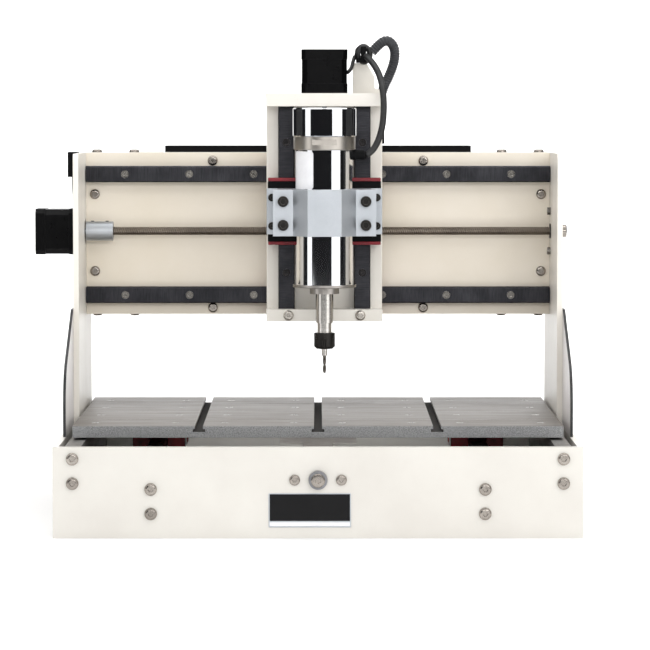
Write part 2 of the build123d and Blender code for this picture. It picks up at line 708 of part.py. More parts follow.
with BuildPart() as spindle_top_cap:
    with BuildSketch(Plane((SLIDE_X, SPINDLE_Y, 0), x_dir=(1, 0, 0), z_dir=(0, -1, 0))):
        with BuildLine():
            Polyline(
                (0, SPINDLE_HIGH), (27.2, SPINDLE_HIGH), (28, SPINDLE_HIGH + 0.8), (28, 341.4),
                (29, 342.4), (29, CAP_HIGH - 1), (28, CAP_HIGH), (0, CAP_HIGH), close=True,
            )
        make_face()
    revolve(axis=Axis((SLIDE_X, SPINDLE_Y, 0), (0, 0, 1)))
    with BuildSketch(plane_y(SLIDE_X, SPINDLE_Y - 30, 336.5, 1)):
        Rectangle(26, 5)
    extrude(amount=4.2, mode=Mode.SUBTRACT)
save(spindle_top_cap, "spindle_top_cap")

with BuildPart() as spindle_shaft:
    disc(plane_z(SLIDE_X, SPINDLE_Y, 172.8), 8, 120)
    disc(plane_z(SLIDE_X, SPINDLE_Y, 163.8), 6.75, 9)
    disc(plane_z(SLIDE_X, SPINDLE_Y, 163.8), 4.2, 18, Mode.SUBTRACT)
save(spindle_shaft, "spindle_shaft")

with BuildPart() as collet_nut:
    disc(plane_z(SLIDE_X, SPINDLE_Y, 149.2), 9.6, 14.6)
    chamfer(collet_nut.edges().group_by(Axis.Z)[0] + collet_nut.edges().group_by(Axis.Z)[-1], 0.7)
    disc(plane_z(SLIDE_X, SPINDLE_Y, 149.2), 4.2, 14.6, Mode.SUBTRACT)
save(collet_nut, "collet_nut")

with BuildPart() as collet:
    disc(plane_z(SLIDE_X, SPINDLE_Y, 143), 2.8, 6.2)
    disc(plane_z(SLIDE_X, SPINDLE_Y, 149.2), 4.15, 22)
    disc(plane_z(SLIDE_X, SPINDLE_Y, 143), 1.6, 30, Mode.SUBTRACT)
save(collet, "collet")

with BuildPart() as end_mill:
    disc(plane_z(SLIDE_X, SPINDLE_Y, 127), 1.5875, 44)
save(end_mill, "end_mill")

CONNECTOR_Z = 325
with BuildPart() as spindle_connector:
    disc(plane_x(SLIDE_X + 20, SPINDLE_Y, CONNECTOR_Z), 4.4, 16)
    disc(plane_x(SLIDE_X + 20, SPINDLE_Y, CONNECTOR_Z), 3.6, 18)
    with BuildSketch(plane_z(SLIDE_X, SPINDLE_Y, CONNECTOR_Z - 10)):
        Circle(SPINDLE_R + 0.03)
    extrude(amount=20, mode=Mode.SUBTRACT)
save(spindle_connector, "spindle_connector")

# Cable bracket, clips and the three cables on the cross slide
BRACKET_T = 3
BRACKET_Y = PLATE_BACK + BRACKET_T
BRACKET_TOP = 409
with BuildPart() as cable_bracket:
    with BuildSketch(plane_y(0, BRACKET_Y, 0)):
        with BuildLine():
            Polyline(
                (32, 328), (RIGHT, 328), (RIGHT, 384), (52.6, 386), (52.6, 396),
                (45, BRACKET_TOP), (32, BRACKET_TOP), close=True,
            )
        make_face()
    extrude(amount=BRACKET_T)
save(cable_bracket, "cable_bracket")

UPPER_CLIP_Z = (BRACKET_TOP, 425)
LOWER_CLIP_Z = (334, 350)
with BuildPart() as cable_clips:
    slab((34, 50), (70, 86), UPPER_CLIP_Z)
    slab((46, 62), (BRACKET_Y, BRACKET_Y + 17), LOWER_CLIP_Z)
    fillet(cable_clips.edges().filter_by(Axis.Z), 3)
save(cable_clips, "cable_clips")


def largest_radii(route):
    """For each inner point, the largest arc that its two runs allow."""
    radii = []
    for before, here, after in zip(route, route[1:], route[2:]):
        a = Vector(*here) - Vector(*before)
        b = Vector(*after) - Vector(*here)
        half_turn = radians(a.get_angle(b)) / 2
        radii.append(0.45 * min(a.length, b.length) / tan(half_turn))
    return radii


def cable(route, diameter):
    """A round cable along a route, made of straight runs joined by tangent arcs."""
    radii = largest_radii(route)
    with BuildLine() as path:
        FilletPolyline(*route, radius=radii)
    line = path.wires()[0]
    start = Plane(origin=line @ 0, z_dir=line % 0)
    with BuildSketch(start) as section:
        Circle(diameter / 2)
    sweep(section.sketch, path=line)
    print([round(r, 1) for r in radii], "length", round(line.length, 1))
    return line.length


SPINDLE_ROUTE = [
    (43.9, 7, 325), (49, 8, 328), (54.5, 11, 337), (58.5, 15, 350), (60, 20, 366),
    (59.5, 28, 382), (57, 40, 396), (52, 51, 406.5), (46.5, 60, 413), (44.5, 68.7, 415),
]
MOTOR_ROUTE = [(27.1, 60, 400), (29.5, 64, 402), (31.5, 70, 406), (32.5, 74, 411), (34, 78, 415)]
CONDUIT_ROUTE = [
    (50, 79, 419), (56, 80, 426), (64, 82, 431), (71, 86, 424.5), (71.5, 89, 412.5),
    (67, 91, 399), (60, 92, 385), (56, 92.5, 368), (54, 92.5, 350),
]
SIDE_ROUTE = [
    (-227, 84, 304), (-227.1, 85, 297), (-227.1, 88, 289), (-226.8, 92, 282), (-226.5, 95, 274.15),
]
CABLES = [
    ("spindle_cable", SPINDLE_ROUTE, 6),
    ("z_motor_cable", MOTOR_ROUTE, 3.5),
    ("cable_conduit", CONDUIT_ROUTE, 9.4),
    ("x_motor_cable", SIDE_ROUTE, 3),
]
for name, route, diameter in CABLES:
    with BuildPart() as tube:
        length = cable(route, diameter)
    straight = length * 3.14159 * (diameter / 2) ** 2
    print(name, "volume ratio", round(tube.part.volume / straight, 4))
    save(tube, name)
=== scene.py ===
import bmesh
import bpy
import math
import random
from mathutils import Matrix, Vector


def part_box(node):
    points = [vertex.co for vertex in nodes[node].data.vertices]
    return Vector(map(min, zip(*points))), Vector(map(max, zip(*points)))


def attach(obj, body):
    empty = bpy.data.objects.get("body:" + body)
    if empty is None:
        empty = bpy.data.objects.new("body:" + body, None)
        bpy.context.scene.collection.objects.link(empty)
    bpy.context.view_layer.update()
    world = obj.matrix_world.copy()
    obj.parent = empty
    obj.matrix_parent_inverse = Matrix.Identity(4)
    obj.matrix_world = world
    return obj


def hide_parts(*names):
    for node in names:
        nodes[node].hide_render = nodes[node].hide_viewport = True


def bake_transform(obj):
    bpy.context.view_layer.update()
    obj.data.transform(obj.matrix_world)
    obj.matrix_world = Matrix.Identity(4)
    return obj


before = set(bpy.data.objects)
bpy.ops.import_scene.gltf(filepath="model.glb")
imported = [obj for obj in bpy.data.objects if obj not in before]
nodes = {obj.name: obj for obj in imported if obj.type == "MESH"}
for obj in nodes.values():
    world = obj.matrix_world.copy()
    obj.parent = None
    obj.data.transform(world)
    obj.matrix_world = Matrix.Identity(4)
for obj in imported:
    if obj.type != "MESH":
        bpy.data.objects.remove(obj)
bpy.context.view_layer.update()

MM = 0.001
X, Y, Z = Vector((1, 0, 0)), Vector((0, 1, 0)), Vector((0, 0, 1))
AXES = (X, Y, Z)
spindle_low, spindle_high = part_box("spindle_body")
AXIS_X = (spindle_low.x + spindle_high.x) / 2
AXIS_Y = (spindle_low.y + spindle_high.y) / 2

# ---------------------------------------------------------------- camera
CAMERA_PLACE = (0, -3.028, 0.3643)
LENS = 185.4
PITCH_DOWN = 3.65
YAW = -0.12
camera = bpy.data.objects.new("camera", bpy.data.cameras.new("camera"))
bpy.context.scene.collection.objects.link(camera)
camera.data.lens = LENS
camera.data.sensor_width = 36
camera.data.clip_end = 50
camera.location = CAMERA_PLACE
camera.rotation_euler = (math.radians(90 - PITCH_DOWN), 0, math.radians(YAW))
bpy.context.scene.camera = camera
bpy.context.scene.view_settings.view_transform = "Standard"


# ---------------------------------------------------------------- mesh helpers
def new_object(name, verts, faces, smooth=None):
    """A mesh object. smooth is the angle in degrees above which an edge stays sharp."""
    mesh = bpy.data.meshes.new(name)
    mesh.from_pydata([tuple(v) for v in verts], [], faces)
    mesh.validate()
    obj = bpy.data.objects.new(name, mesh)
    bpy.context.scene.collection.objects.link(obj)
    if smooth is not None:
        mesh.polygons.foreach_set("use_smooth", [True] * len(mesh.polygons))
        mesh.set_sharp_from_angle(angle=math.radians(smooth))
    return obj


def soften(obj, width, segments=2):
    """Rounds an object's sharp edges."""
    bevel = obj.modifiers.new("edges", "BEVEL")
    bevel.width = width
    bevel.segments = segments
    bevel.limit_method = "ANGLE"
    bevel.angle_limit = math.radians(35)
    return obj


def place(obj, body, slot, material, *replaced):
    """Gives a piece its material and its body, and says which CAD nodes it stands for. Its slot is not
    used.
    """
    obj.data.materials.clear()
    obj.data.materials.append(material)
    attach(obj, body)
    if replaced:
        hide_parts(*replaced)
    return obj


def prism(name, outline, origin, u, v, w, length, bevel=0.0):
    """A closed outline in u and v, extruded along w from its origin."""
    n = len(outline)
    base = [origin + u * a + v * b for a, b in outline]
    verts = base + [p + w * length for p in base]
    faces = [tuple(range(n)), tuple(range(2 * n - 1, n - 1, -1))]
    faces += [(i, i + n, (i + 1) % n + n, (i + 1) % n) for i in range(n)]
    obj = new_object(name, verts, faces)
    recalculate(obj)
    return soften(obj, bevel) if bevel else obj


def recalculate(obj):
    """Turns the faces outward."""
    bm = bmesh.new()
    bm.from_mesh(obj.data)
    bmesh.ops.recalc_face_normals(bm, faces=bm.faces)
    bm.to_mesh(obj.data)
    bm.free()


def frame_of(axis):
    """Two directions square to an axis and to each other."""
    side = Y if abs(axis.dot(Y)) < 0.9 else X
    u = side.cross(axis).normalized()
    return u, axis.cross(u).normalized()


def lathe(name, rings, origin, axis, sides=32, smooth=30):
    """Rings of (distance along the axis, radius or function of angle), closed at both ends."""
    u, v = frame_of(axis)
    verts = []
    for along, radius in rings:
        for i in range(sides):
            angle = 2 * math.pi * i / sides
            r = radius(angle) if callable(radius) else radius
            verts.append(origin + axis * along + (u * math.cos(angle) + v * math.sin(angle)) * r)
    faces = []
    for k in range(len(rings) - 1):
        a, b = k * sides, (k + 1) * sides
        faces += [(a + i, a + (i + 1) % sides, b + (i + 1) % sides, b + i) for i in range(sides)]
    last = (len(rings) - 1) * sides
    verts += [origin + axis * rings[0][0], origin + axis * rings[-1][0]]
    first_c, last_c = len(verts) - 2, len(verts) - 1
    faces += [((i + 1) % sides, i, first_c) for i in range(sides)]
    faces += [(last + i, last + (i + 1) % sides, last_c) for i in range(sides)]
    return new_object(name, verts, faces, smooth)


def hexagon(across):
    """Radius of a hexagon, by angle."""
    flat = across / 2
    return lambda angle: flat / math.cos(angle % (math.pi / 3) - math.pi / 6)


def nurbs_points(points, resolution=24):
    """Points along the smooth spline whose control points, in millimetres, are a route."""
    curve = bpy.data.curves.new("route", "CURVE")
    curve.dimensions = "3D"
    spline = curve.splines.new("NURBS")
    spline.points.add(len(points) - 1)
    for p, co in zip(spline.points, points):
        p.co = (co[0] * MM, co[1] * MM, co[2] * MM, 1)
    spline.order_u = 3
    spline.use_endpoint_u = True
    spline.resolution_u = resolution
    holder = bpy.data.objects.new("route", curve)
    mesh = bpy.data.meshes.new_from_object(holder)
    line = [v.co.copy() for v in mesh.vertices]
    bpy.data.objects.remove(holder)
    return line


def resample(line, step):
    """Points at even steps along a line, with its length."""
    total = sum((b - a).length for a, b in zip(line, line[1:]))
    count = max(2, round(total / step))
    out, seg, done = [line[0]], 0, 0.0
    for k in range(1, count):
        want = total * k / count
        while done + (line[seg + 1] - line[seg]).length < want:
            done += (line[seg + 1] - line[seg]).length
            seg += 1
        part = (want - done) / (line[seg + 1] - line[seg]).length
        out.append(line[seg].lerp(line[seg + 1], part))
    return out + [line[-1]], total


def tube(name, line, radius, step, sides=24):
    """A round tube along a line. radius is a function of the distance along it."""
    points, total = resample(line, step)
    tangent = (points[1] - points[0]).normalized()
    u = frame_of(tangent)[0]
    verts, faces = [], []
    for k, p in enumerate(points):
        ahead = points[min(k + 1, len(points) - 1)] - points[max(k - 1, 0)]
        turn = tangent.rotation_difference(ahead.normalized())
        u = turn @ u
        tangent = ahead.normalized()
        v = tangent.cross(u)
        r = radius(total * k / (len(points) - 1))
        for i in range(sides):
            angle = 2 * math.pi * i / sides
            verts.append(p + (u * math.cos(angle) + v * math.sin(angle)) * r)
    for k in range(len(points) - 1):
        a, b = k * sides, (k + 1) * sides
        faces += [(a + i, a + (i + 1) % sides, b + (i + 1) % sides, b + i) for i in range(sides)]
    last = (len(points) - 1) * sides
    faces += [tuple(range(sides - 1, -1, -1)), tuple(range(last, last + sides))]
    return new_object(name, verts, faces, 50), points, total


# ---------------------------------------------------------------- materials
def linear_channel(value):
    c = value / 255
    return c / 12.92 if c <= 0.04045 else ((c + 0.055) / 1.055) ** 2.4


def linear(r, g, b):
    """A shader colour from 8-bit sRGB values."""
    return (linear_channel(r), linear_channel(g), linear_channel(b), 1)


class Finish:
    """Builds one procedural material. Distances in its textures are millimetres."""

    def __init__(self, name, metallic=0.0, coat=0.0, coat_rough=0.15, ior=1.5):
        self.material = bpy.data.materials.new(name)
        self.material.use_nodes = True
        self.tree = self.material.node_tree
        self.bsdf = self.tree.nodes["Principled BSDF"]
        self.bsdf.inputs["Metallic"].default_value = metallic
        self.bsdf.inputs["IOR"].default_value = ior
        if coat:
            self.bsdf.inputs["Coat Weight"].default_value = coat
            self.bsdf.inputs["Coat Roughness"].default_value = coat_rough
        coords = self.add("ShaderNodeTexCoord")
        scale = self.add("ShaderNodeVectorMath", operation="SCALE")
        self.link(coords.outputs["Object"], scale.inputs[0])
        scale.inputs["Scale"].default_value = 1000
        self.mm = scale.outputs["Vector"]
        self.normal = None

    def add(self, kind, **settings):
        node = self.tree.nodes.new(kind)
        for key, value in settings.items():
            setattr(node, key, value)
        return node

    def link(self, a, b):
        self.tree.links.new(a, b)

    def noise(self, size, detail=3, stretch=(1, 1, 1), rough=0.55):
        """Noise whose features are about size millimetres across, longer along stretched axes."""
        mapping = self.add("ShaderNodeMapping")
        mapping.inputs["Scale"].default_value = tuple(1 / (size * s) for s in stretch)
        self.link(self.mm, mapping.inputs["Vector"])
        noise = self.add("ShaderNodeTexNoise")
        noise.inputs["Scale"].default_value = 1
        noise.inputs["Detail"].default_value = detail
        noise.inputs["Roughness"].default_value = rough
        self.link(mapping.outputs["Vector"], noise.inputs["Vector"])
        return noise.outputs["Fac"]

    def remap(self, value, low, high, start=0.3, end=0.7):
        node = self.add("ShaderNodeMapRange")
        node.inputs["From Min"].default_value = start
        node.inputs["From Max"].default_value = end
        node.inputs["To Min"].default_value = low
        node.inputs["To Max"].default_value = high
        self.link(value, node.inputs["Value"])
        return node.outputs["Result"]

    def mix(self, factor, a, b):
        node = self.add("ShaderNodeMix", data_type="RGBA")
        self.link(factor, node.inputs["Factor"])
        for value, socket in ((a, node.inputs[6]), (b, node.inputs[7])):
            if isinstance(value, tuple):
                socket.default_value = value
            else:
                self.link(value, socket)
        return node.outputs[2]

    def math(self, operation, a, b):
        node = self.add("ShaderNodeMath", operation=operation)
        for value, socket in ((a, node.inputs[0]), (b, node.inputs[1])):
            if isinstance(value, (int, float)):
                socket.default_value = value
            else:
                self.link(value, socket)
        return node.outputs["Value"]

    def scaled(self, value, factor, plus):
        """A value times a factor, plus an offset."""
        result = self.math("MULTIPLY_ADD", value, factor)
        result.node.inputs[2].default_value = plus
        return result

    def coordinate(self, axis):
        """The place along an axis, in millimetres."""
        split = self.add("ShaderNodeSeparateXYZ")
        self.link(self.mm, split.inputs["Vector"])
        return split.outputs[axis]

    def facing(self, axis):
        """How far the surface faces along an axis, from 0 to 1."""
        geometry = self.add("ShaderNodeNewGeometry")
        split = self.add("ShaderNodeSeparateXYZ")
        self.link(geometry.outputs["True Normal"], split.inputs["Vector"])
        return self.math("ABSOLUTE", split.outputs[axis], 0)

    def edge_mask(self, radius):
        """1 near a sharp edge of the surface and 0 away from it."""
        bevel = self.add("ShaderNodeBevel", samples=6)
        bevel.inputs["Radius"].default_value = radius * MM
        geometry = self.add("ShaderNodeNewGeometry")
        dot = self.add("ShaderNodeVectorMath", operation="DOT_PRODUCT")
        self.link(bevel.outputs["Normal"], dot.inputs[0])
        self.link(geometry.outputs["Normal"], dot.inputs[1])
        return self.remap(dot.outputs["Value"], 1, 0, 0.86, 0.995)

    def soft_edges(self, radius):
        bevel = self.add("ShaderNodeBevel", samples=4)
        bevel.inputs["Radius"].default_value = radius * MM
        self.normal = bevel.outputs["Normal"]

    def bump(self, height, strength, distance):
        node = self.add("ShaderNodeBump")
        node.inputs["Strength"].default_value = strength
        node.inputs["Distance"].default_value = distance * MM
        self.link(height, node.inputs["Height"])
        if self.normal is not None:
            self.link(self.normal, node.inputs["Normal"])
        self.normal = node.outputs["Normal"]

    def done(self, colour, roughness):
        for value, socket in ((colour, "Base Color"), (roughness, "Roughness")):
            if isinstance(value, (tuple, float)):
                self.bsdf.inputs[socket].default_value = value
            else:
                self.link(value, self.bsdf.inputs[socket])
        if self.normal is not None:
            self.link(self.normal, self.bsdf.inputs["Normal"])
        return self.material


def powder_coat(name, light, dark, edge):
    """Satin powder coat: fine orange peel, faint clouding, thinner coat on the edges."""
    f = Finish(name, coat=0.12, coat_rough=0.25)
    f.soft_edges(0.5)
    f.bump(f.noise(1.1, 2), 0.10, 0.05)
    clouds = f.remap(f.noise(70, 4), 0, 1)
    colour = f.mix(clouds, linear(*light), linear(*dark))
    specks = f.remap(f.noise(0.9, 1), 0, 0.16, 0.66, 0.74)
    colour = f.mix(specks, colour, linear(*edge))
    worn = f.math("MULTIPLY", f.edge_mask(0.5), f.remap(f.noise(9, 3), 0.05, 0.55, 0.45, 0.65))
    colour = f.mix(worn, colour, linear(*edge))
    return f.done(colour, f.remap(f.noise(6, 3), 0.34, 0.46))


def sheet_panel(name, axis="X"):
    """Ivory clouded at random with a lilac grey that is painted shade, and black cut edges."""
    f = Finish(name, coat=0.1, coat_rough=0.3)
    f.bump(f.noise(1.1, 2), 0.1, 0.05)
    clouds = f.remap(f.noise(60, 4), 0, 1)
    colour = f.mix(clouds, linear(236, 232, 228), linear(224, 219, 218))
    cut = f.remap(f.facing(axis), 1, 0, 0.35, 0.6)
    scuffs = f.remap(f.noise(3, 4), 0.0, 1.0, 0.4, 0.9)
    black = f.mix(scuffs, linear(18, 18, 20), linear(58, 56, 58))
    colour = f.mix(cut, colour, black)
    return f.done(colour, f.remap(f.noise(5, 3), 0.36, 0.5))


def brushed(name, light, dark, stretch, rough, lines, metallic, size, edge=None):
    """Metal with fine scratches along the stretched axis, cloudy patches and bright worn edges."""
    f = Finish(name, metallic=metallic)
    f.soft_edges(0.3)
    scratch = f.noise(size, 2, stretch)
    f.bump(scratch, lines, 0.02)
    clouds = f.remap(f.noise(26, 5), 0, 0.7)
    colour = f.mix(clouds, linear(*light), linear(*dark))
    fine = f.remap(scratch, 0, 0.6, 0.35, 0.75)
    colour = f.mix(fine, colour, linear(*dark))
    if edge:
        colour = f.mix(f.math("MULTIPLY", f.edge_mask(0.4), 0.7), colour, linear(*edge))
    return f.done(colour, f.remap(f.noise(4, 3, stretch), *rough))


def table_top(name, top):
    """Milled plate: streaks along X on top, granular cut edges, and painted shade on the floors of the
    grooves and slots.
    """
    f = Finish(name)
    f.soft_edges(0.25)
    streaks = f.noise(0.5, 3, (50, 1, 1))
    grain = f.noise(0.7, 2)
    f.bump(streaks, 0.35, 0.02)
    f.bump(grain, 0.3, 0.03)
    wide = f.noise(5, 3, (30, 1, 1))
    colour = f.mix(f.remap(wide, 0, 1), linear(150, 145, 140), linear(118, 112, 107))
    colour = f.mix(f.remap(streaks, 0, 0.6, 0.35, 0.7), colour, linear(104, 98, 93))
    front = f.math("GREATER_THAN", f.facing("Y"), 0.5)
    speckle = f.mix(f.remap(grain, 0, 1, 0.35, 0.65), linear(112, 112, 112), linear(176, 177, 178))
    colour = f.mix(front, colour, speckle)
    # Painted shade: faces that look up from below the top, the floors of the grooves and slots, turn dark,
    # matte and not metallic.
    low = f.math("LESS_THAN", f.coordinate("Z"), top - 0.2)
    painted_slot_shade = f.math("MULTIPLY", low, f.math("GREATER_THAN", f.facing("Z"), 0.5))
    f.link(f.scaled(painted_slot_shade, -0.75, 0.75), f.bsdf.inputs["Metallic"])
    colour = f.mix(f.math("MULTIPLY", painted_slot_shade, 0.92), colour, linear(34, 31, 30))
    rough = f.remap(f.noise(4, 3, (20, 1, 1)), 0.38, 0.55)
    return f.done(colour, f.math("MAXIMUM", rough, f.math("MULTIPLY", painted_slot_shade, 0.95)))


def satin_below(name, split):
    """Polished tube whose lower flange and nose are satin."""
    f = Finish(name, metallic=1.0)
    f.bump(f.noise(40, 2, (1, 1, 3)), 0.03, 0.05)
    below = f.math("LESS_THAN", f.coordinate("Z"), split)
    colour = f.mix(below, linear(240, 241, 244), linear(168, 163, 158))
    return f.done(colour, f.scaled(below, 0.28, 0.05))


def plate_and_rail_screws(name, split):
    """Bright screws on the plates in front of a level along Y, and dark ones on the rails behind it."""
    f = Finish(name, metallic=0.9)
    f.soft_edges(0.3)
    f.bump(f.noise(0.6, 2), 0.15, 0.02)
    behind = f.math("GREATER_THAN", f.coordinate("Y"), split)
    clouds = f.remap(f.noise(5, 4), 0, 0.8)
    bright = f.mix(clouds, linear(206, 200, 192), linear(150, 144, 136))
    dark = f.mix(clouds, linear(62, 60, 60), linear(36, 35, 36))
    colour = f.mix(behind, bright, dark)
    return f.done(colour, f.remap(f.noise(4, 3), 0.2, 0.34))


def cap_metal(name, split):
    """Chrome above a level, and a satin turned ring below it."""
    f = Finish(name, metallic=1.0)
    below = f.math("LESS_THAN", f.coordinate("Z"), split)
    turned = f.noise(0.5, 2, (30, 30, 1))
    f.bump(f.math("MULTIPLY", turned, below), 0.25, 0.02)
    colour = f.mix(below, linear(240, 241, 244), linear(190, 184, 176))
    return f.done(colour, f.scaled(below, 0.26, 0.045))


def black_case(name, shade=(10, 10, 11), rough=(0.3, 0.45), layers=None):
    """Black paint or moulding, with a fine texture, dust and rubbed edges. Layers are lamination lines."""
    f = Finish(name, ior=1.25)
    f.bsdf.inputs["Specular IOR Level"].default_value = 0.25
    f.soft_edges(0.35)
    f.bump(f.noise(0.8, 2), 0.18, 0.05)
    if layers is not None:
        f.bump(f.noise(0.6, 0, layers), 0.3, 0.06)
    light = tuple(min(255, c + 8) for c in shade)
    colour = f.mix(f.remap(f.noise(14, 5), 0, 0.6), linear(*shade), linear(*light))
    rub = f.math("MULTIPLY", f.edge_mask(0.35), f.remap(f.noise(5, 3), 0.1, 0.6))
    colour = f.mix(rub, colour, linear(60, 60, 62))
    return f.done(colour, f.remap(f.noise(6, 3), *rough))


def rubber_jacket(name, shade):
    """Dark cable jacket with scuffed, slightly lighter patches."""
    f = Finish(name)
    f.bump(f.noise(0.5, 3), 0.2, 0.04)
    light = tuple(min(255, c + 26) for c in shade)
    colour = f.mix(f.remap(f.noise(9, 4), 0, 0.8), linear(*shade), linear(*light))
    return f.done(colour, f.remap(f.noise(4, 3), 0.42, 0.6))


def red_seal(name):
    """Red moulded rubber."""
    f = Finish(name, coat=0.2)
    f.bump(f.noise(0.6, 2), 0.15, 0.04)
    colour = f.mix(f.remap(f.noise(7, 4), 0, 1), linear(150, 16, 34), linear(104, 10, 24))
    return f.done(colour, f.remap(f.noise(3, 3), 0.32, 0.5))


def paper(name, light, dark, coat=0.3):
    """A printed film or label, left blank."""
    f = Finish(name, coat=coat, coat_rough=0.12, ior=1.3)
    f.bump(f.noise(12, 3), 0.05, 0.05)
    colour = f.mix(f.remap(f.noise(16, 4), 0, 1), linear(*light), linear(*dark))
    return f.done(colour, f.remap(f.noise(8, 3), 0.28, 0.42))


cream = powder_coat("cream_powder_coat", (240, 236, 228), (231, 226, 216), (202, 196, 184))
# Painted shade: a darker copy of the cream powder coat, for the base's panels.
cream_painted_shade = powder_coat("cream_powder_coat_painted_shade", (218, 215, 208), (209, 205, 198), (190, 185, 175))
# Painted light: a brighter, warmer copy of the cream powder coat, for the beam's recessed front plate.
cream_painted_light = powder_coat("cream_powder_coat_painted_light", (246, 237, 222), (239, 229, 211), (204, 196, 182))
cream_sheet = sheet_panel("cream_sheet")
table_metal = table_top("grey_milled_table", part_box("inner_table_strips")[1].z / MM)
milled = brushed(
    "grey_milled", (176, 172, 168), (128, 122, 117), stretch=(40, 1, 1), rough=(0.36, 0.5),
    lines=0.5, metallic=0.85, size=0.5, edge=(205, 203, 200),
)
milled_beam = brushed(
    "grey_milled_beam", (170, 168, 165), (132, 129, 126), stretch=(1, 40, 1), rough=(0.36, 0.5),
    lines=0.4, metallic=0.85, size=0.5,
)
anodised = brushed(
    "silver_anodised", (196, 200, 205), (180, 185, 190), stretch=(1, 1, 1), rough=(0.38, 0.5),
    lines=0.25, metallic=0.85, size=0.4, edge=(226, 228, 230),
)
SATIN_NOSE = 8.6
SATIN_RING = 12.5
polished = satin_below("polished_steel", spindle_low.z / MM + SATIN_NOSE)
polished_cap = cap_metal("polished_steel_cap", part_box("spindle_top_cap")[0].z / MM + SATIN_RING)
ground = brushed(
    "ground_steel", (204, 201, 196), (160, 155, 150), stretch=(30, 30, 1), rough=(0.1, 0.2),
    lines=0.12, metallic=1.0, size=0.4,
)
dull_screw = brushed(
    "screw_steel_dull", (150, 146, 140), (92, 89, 85), stretch=(1, 1, 1), rough=(0.2, 0.32),
    lines=0.2, metallic=1.0, size=0.6, edge=(210, 206, 200),
)
screw_metal = brushed(
    "screw_steel", (188, 181, 173), (122, 115, 108), stretch=(1, 1, 1), rough=(0.14, 0.26),
    lines=0.12, metallic=1.0, size=0.6,
)
between = (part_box("z_bottom_plate")[0].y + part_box("z_rails")[0].y) / 2 / MM
plate_screw = plate_and_rail_screws("screw_steel_z_plate", between)
thread_metal = brushed(
    "leadscrew_steel", (140, 130, 118), (92, 84, 76), stretch=(1, 1, 1), rough=(0.26, 0.4),
    lines=0.2, metallic=1.0, size=0.7,
)
rail_x = brushed(
    "rail_steel_x", (66, 66, 70), (30, 30, 33), stretch=(1, 14, 14), rough=(0.3, 0.42),
    lines=0.5, metallic=0.9, size=0.8, edge=(120, 120, 124),
)
rail_y = brushed(
    "rail_steel_y", (66, 66, 70), (30, 30, 33), stretch=(14, 1, 14), rough=(0.3, 0.42),
    lines=0.5, metallic=0.9, size=0.8, edge=(120, 120, 124),
)
rail_z = brushed(
    "rail_steel_z", (66, 66, 70), (30, 30, 33), stretch=(14, 14, 1), rough=(0.3, 0.42),
    lines=0.5, metallic=0.9, size=0.8, edge=(120, 120, 124),
)
block_steel = brushed(
    "carriage_steel", (158, 158, 160), (112, 112, 115), stretch=(12, 12, 12), rough=(0.28, 0.4),
    lines=0.2, metallic=1.0, size=0.5,
)
seal = red_seal("carriage_seal")
end_plastic = black_case("carriage_end", (9, 9, 10), (0.32, 0.48))
motor_black = black_case("black_paint", (3, 3, 4), (0.28, 0.42))
motor_stack = {
    "x_motor": black_case("motor_stack_x", (3, 3, 4), (0.26, 0.4), (1, 60, 60)),
    "y_motor": black_case("motor_stack_y", (3, 3, 4), (0.26, 0.4), (60, 1, 60)),
    "z_motor": black_case("motor_stack_z", (3, 3, 4), (0.26, 0.4), (60, 60, 1)),
}
oxide = brushed(
    "dark_steel", (58, 56, 54), (30, 29, 28), stretch=(1, 1, 1), rough=(0.3, 0.44),
    lines=0.25, metallic=0.9, size=0.6, edge=(112, 108, 102),
)
black_anodised = black_case("black_anodised", (9, 9, 10), (0.34, 0.5))
black_plastic = black_case("black_plastic", (11, 11, 12), (0.4, 0.58))
jacket = rubber_jacket("cable_jacket", (14, 14, 15))
conduit_jacket = rubber_jacket("conduit_jacket", (40, 41, 45))
carbide = brushed(
    "carbide", (120, 114, 106), (74, 70, 66), stretch=(1, 1, 1), rough=(0.2, 0.32),
    lines=0.15, metallic=1.0, size=0.4,
)
label_white = paper("label_white", (236, 236, 238), (224, 224, 227))
plate_black = paper("nameplate_black", (5, 5, 7), (9, 9, 11), 0.0)

NODE_MATERIALS = {
    cream: "beam_flanges beam_ribs z_axis_plate z_top_plate z_bottom_plate cable_bracket gantry_plates",
    # The base's panels take the darker copy of the cream coat, which is painted shade.
    cream_painted_shade: "front_panel back_panel side_panels",
    # The beam's front plate takes the brighter, warmer copy of the cream coat, which is painted light.
    cream_painted_light: "beam_front_plate",
    cream_sheet: "side_guards",
    table_metal: "table_base_plate inner_table_strips outer_table_strips",
    milled: "x_nut_block z_nut_block y_nut_block",
    milled_beam: "base_beams",
    anodised: "clamp_front_half clamp_rear_half z_slide_plate y_coupling x_coupling z_coupling",
    polished: "spindle_body",
    polished_cap: "spindle_top_cap",
    ground: "spindle_shaft collet",
    screw_metal: "base_screws gantry_screws",
    plate_screw: "z_plate_screws",
    dull_screw: "small_cap_screws table_screws",
    rail_x: "x_rails",
    rail_y: "y_rails",
    rail_z: "z_rails",
    oxide: "slide_screws x_end_bearing",
    block_steel: "y_front_bearing",
    black_anodised: "cable_tray",
    black_plastic: "spindle_connector connector_box",
}
for material, names in NODE_MATERIALS.items():
    for name in names.split():
        mesh = nodes[name].data
        mesh.materials.clear()
        mesh.materials.append(material)
for name, material in motor_stack.items():
    nodes[name].data.materials.clear()
    nodes[name].data.materials.append(material)


# ---------------------------------------------------------------- carriages
RAIL_CHANNEL = 7.95 * MM
RAIL_ROOF = 11.2 * MM
SEAL_T = 3.0 * MM
CAP_T = 7.6 * MM


